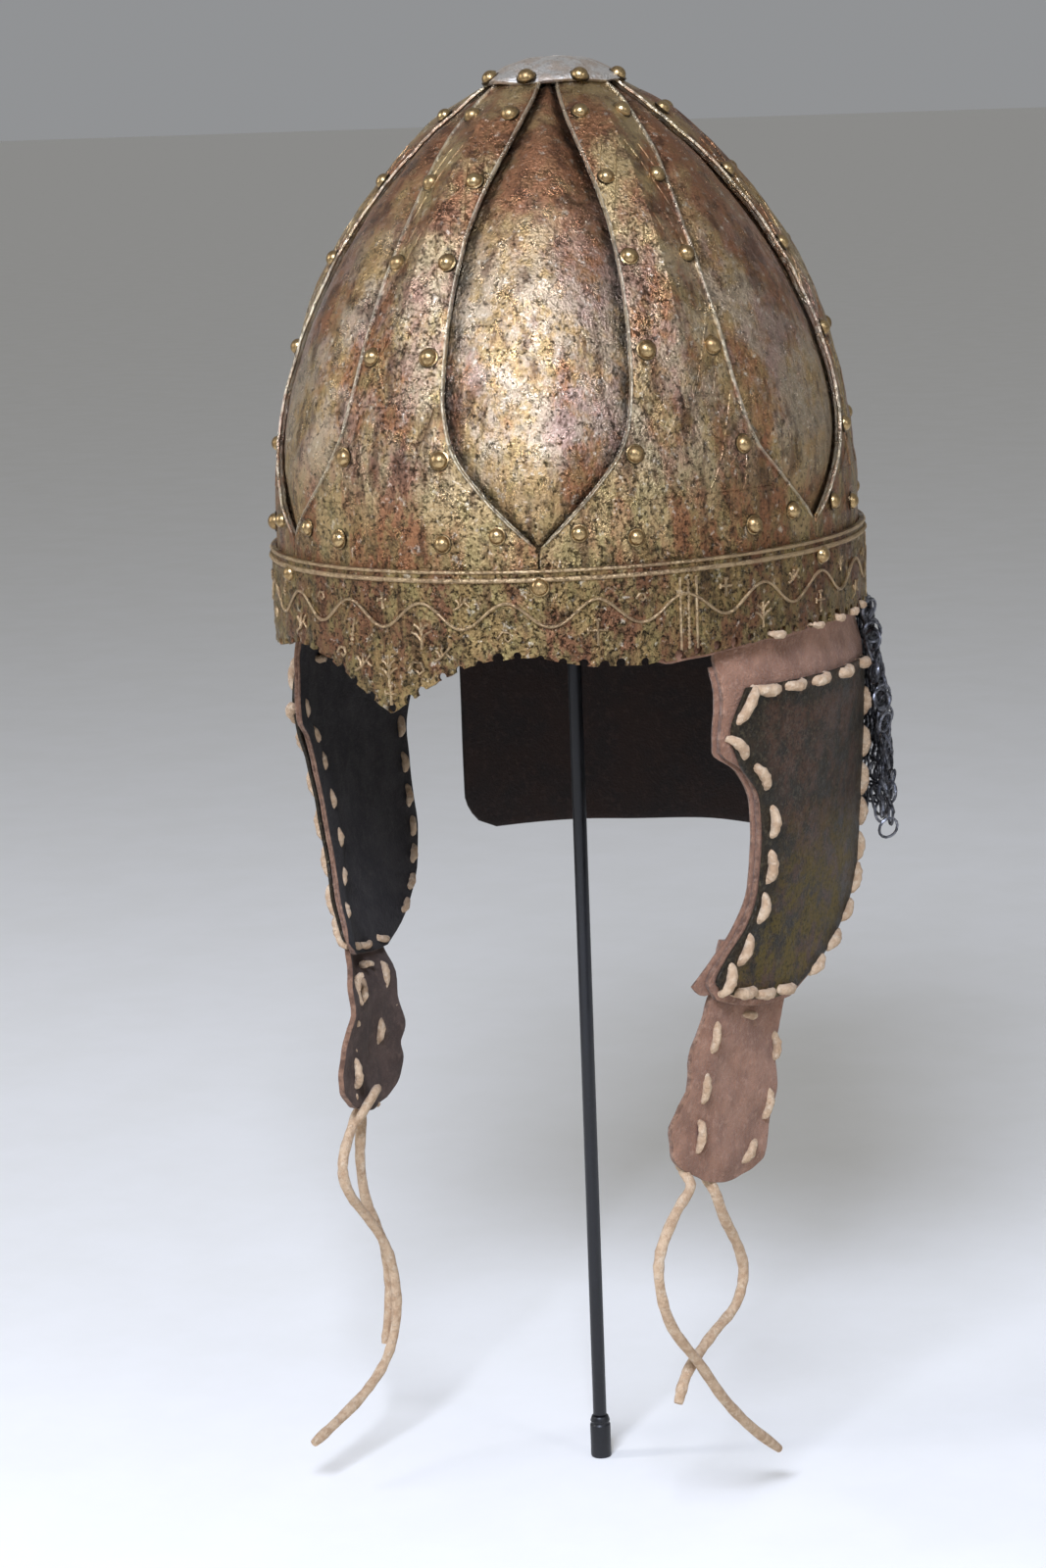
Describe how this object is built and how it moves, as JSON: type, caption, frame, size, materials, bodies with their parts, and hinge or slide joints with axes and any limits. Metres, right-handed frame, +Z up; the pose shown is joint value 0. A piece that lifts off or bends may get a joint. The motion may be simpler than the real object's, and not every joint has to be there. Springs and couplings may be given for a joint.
{
  "type": "spangenhelm with cheek flaps and mail neck curtain on a rod stand",
  "caption": "Riveted ogival helmet of gilt copper bands and plates with an embossed brow band, laced cheek flaps, chin straps with hanging ties, and a mail neck curtain, on a rod stand.",
  "frame": {"origin": "middle of the underside of the stand's foot, below the helmet's vertical axis", "axes": "+Z up the stand's rod and the helmet's axis; -Y the way the wearer faces; +X the wearer's left"},
  "size_m": [0.2149, 0.2354, 0.5132],
  "materials": {
    "gilt_copper": "worn gilding over copper, satin",
    "gilt_copper_band": "worn gilding over embossed copper, satin",
    "plated_iron": "mottled copper plating over iron, semi-polished",
    "pale_metal_disc": "hammered pale metal, satin",
    "brass_rivet": "domed brass, worn bright",
    "dark_bronze": "black-brown patina, satin",
    "suede": "brown suede, matt",
    "thong": "pale tan leather thong, matt",
    "dark_leather": "dark brown leather, matt",
    "iron_mail": "blackened iron wire rings",
    "black_steel": "black satin paint"
  },
  "bodies": {
    "root": {"apex_disc": "pale_metal_disc", "spange_1": "gilt_copper", "infill_plate_1": "plated_iron", "spange_2": "gilt_copper", "infill_plate_2": "plated_iron", "spange_3": "gilt_copper", "infill_plate_3": "plated_iron", "spange_4": "gilt_copper", "infill_plate_4": "plated_iron", "spange_5": "gilt_copper", "infill_plate_5": "plated_iron", "spange_6": "gilt_copper", "infill_plate_6": "plated_iron", "brow_band": "gilt_copper_band", "lining_band": "suede", "cheek_leather_left": "suede", "cheek_plate_left": "dark_bronze", "chin_strap_left": "suede", "cheek_leather_right": "suede", "cheek_plate_right": "dark_bronze", "chin_strap_right": "suede", "tie_left_front": "thong", "tie_left_back": "thong", "tie_right_front": "thong", "tie_right_back": "thong", "neck_guard": "dark_leather", "mail_curtain": "iron_mail", "stand_rod": "black_steel", "stand_foot": "black_steel", "stand_cap": "black_steel"}
  },
  "joints": []
}
